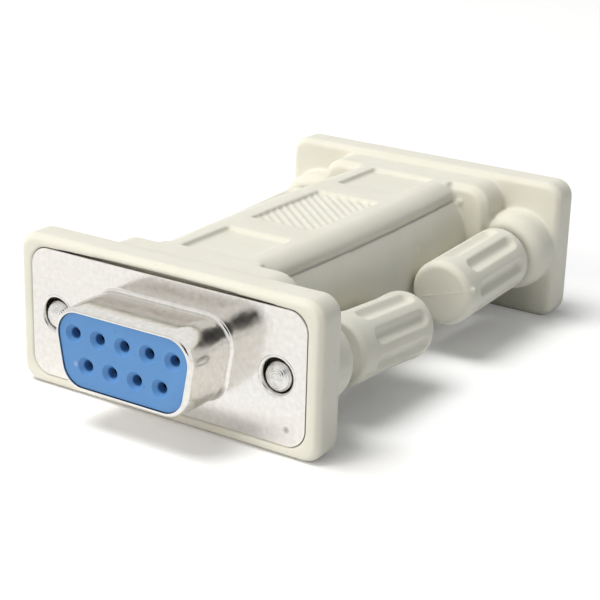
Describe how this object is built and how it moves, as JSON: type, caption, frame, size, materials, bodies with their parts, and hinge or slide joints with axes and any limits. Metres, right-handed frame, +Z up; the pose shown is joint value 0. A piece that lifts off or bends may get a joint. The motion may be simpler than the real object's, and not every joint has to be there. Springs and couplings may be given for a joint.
{
  "type": "null modem adapter",
  "caption": "Moulded adapter with a nine-way D-sub socket at each end, a waisted body between two plates and fluted thumbscrews along both sides.",
  "frame": {"origin": "under the centre of the adapter, on the surface that its end plates stand on", "axes": "+X across the width to the right of someone who faces the front socket, +Y along the length from the front socket to the rear one, +Z up, with the wide side of both sockets upwards"},
  "size_m": [0.034, 0.0616, 0.015],
  "materials": {
    "jacket_plastic": "fine matte, warm ivory",
    "knob_plastic": "fine matte, warm ivory",
    "sleeve_plastic": "plain",
    "shell_nickel": "satin nickel plate on steel",
    "insulator_plastic": "blue, fine matte",
    "eyelet_nickel": "nickel plate",
    "screw_steel": "plated steel, turned",
    "contact_brass": "lightly tarnished",
    "tinned_copper": "tinned",
    "wire_insulation": "plain"
  },
  "bodies": {
    "adapter": {"outer_jacket": "jacket_plastic", "inner_sleeve": "sleeve_plastic", "wire_2_to_3": "wire_insulation", "wire_3_to_2": "wire_insulation", "wire_4_to_6": "wire_insulation", "wire_5_to_5": "wire_insulation", "wire_6_to_4": "wire_insulation", "wire_7_to_8": "wire_insulation", "wire_8_to_7": "wire_insulation", "front_socket_shell": "shell_nickel", "front_back_shell": "shell_nickel", "front_insulator": "insulator_plastic", "front_link_1_6": "tinned_copper", "front_contact_1": "contact_brass", "front_contact_2": "contact_brass", "front_contact_3": "contact_brass", "front_contact_4": "contact_brass", "front_contact_5": "contact_brass", "front_contact_6": "contact_brass", "front_contact_7": "contact_brass", "front_contact_8": "contact_brass", "front_contact_9": "contact_brass", "front_left_eyelet": "eyelet_nickel", "front_right_eyelet": "eyelet_nickel", "rear_socket_shell": "shell_nickel", "rear_back_shell": "shell_nickel", "rear_insulator": "insulator_plastic", "rear_link_1_6": "tinned_copper", "rear_contact_1": "contact_brass", "rear_contact_2": "contact_brass", "rear_contact_3": "contact_brass", "rear_contact_4": "contact_brass", "rear_contact_5": "contact_brass", "rear_contact_6": "contact_brass", "rear_contact_7": "contact_brass", "rear_contact_8": "contact_brass", "rear_contact_9": "contact_brass", "rear_left_eyelet": "eyelet_nickel", "rear_right_eyelet": "eyelet_nickel"},
    "front_left_screw_body": {"front_left_screw": "screw_steel"},
    "front_left_knob_body": {"front_left_knob": "knob_plastic"},
    "front_right_screw_body": {"front_right_screw": "screw_steel"},
    "front_right_knob_body": {"front_right_knob": "knob_plastic"},
    "rear_left_screw_body": {"rear_left_screw": "screw_steel"},
    "rear_left_knob_body": {"rear_left_knob": "knob_plastic"},
    "rear_right_screw_body": {"rear_right_screw": "screw_steel"},
    "rear_right_knob_body": {"rear_right_knob": "knob_plastic"}
  },
  "joints": [
    {"name": "front_left_screw_slide", "type": "slide", "parent": "adapter", "child": "front_left_screw_body", "axis": [0, -0.9971, 0.0767], "range_m": [-0.0031, 0.0014]},
    {"name": "front_left_knob_turn", "type": "hinge", "parent": "front_left_screw_body", "child": "front_left_knob_body", "pos_m": [-0.0125, -0.025, 0.00742], "axis": [0, -0.9971, 0.0767], "continuous": true},
    {"name": "front_right_screw_slide", "type": "slide", "parent": "adapter", "child": "front_right_screw_body", "axis": [0, -0.9971, 0.0767], "range_m": [-0.0031, 0.0014]},
    {"name": "front_right_knob_turn", "type": "hinge", "parent": "front_right_screw_body", "child": "front_right_knob_body", "pos_m": [0.0125, -0.025, 0.00742], "axis": [0, -0.9971, 0.0767], "continuous": true},
    {"name": "rear_left_screw_slide", "type": "slide", "parent": "adapter", "child": "rear_left_screw_body", "axis": [0, 0.9993, 0.0384], "range_m": [-0.0031, 0]},
    {"name": "rear_left_knob_turn", "type": "hinge", "parent": "rear_left_screw_body", "child": "rear_left_knob_body", "pos_m": [-0.0125, 0.025, 0.0076], "axis": [0, 0.9993, 0.0384], "continuous": true},
    {"name": "rear_right_screw_slide", "type": "slide", "parent": "adapter", "child": "rear_right_screw_body", "axis": [0, 0.9993, 0.0384], "range_m": [-0.0031, 0]},
    {"name": "rear_right_knob_turn", "type": "hinge", "parent": "rear_right_screw_body", "child": "rear_right_knob_body", "pos_m": [0.0125, 0.025, 0.0076], "axis": [0, 0.9993, 0.0384], "continuous": true}
  ]
}
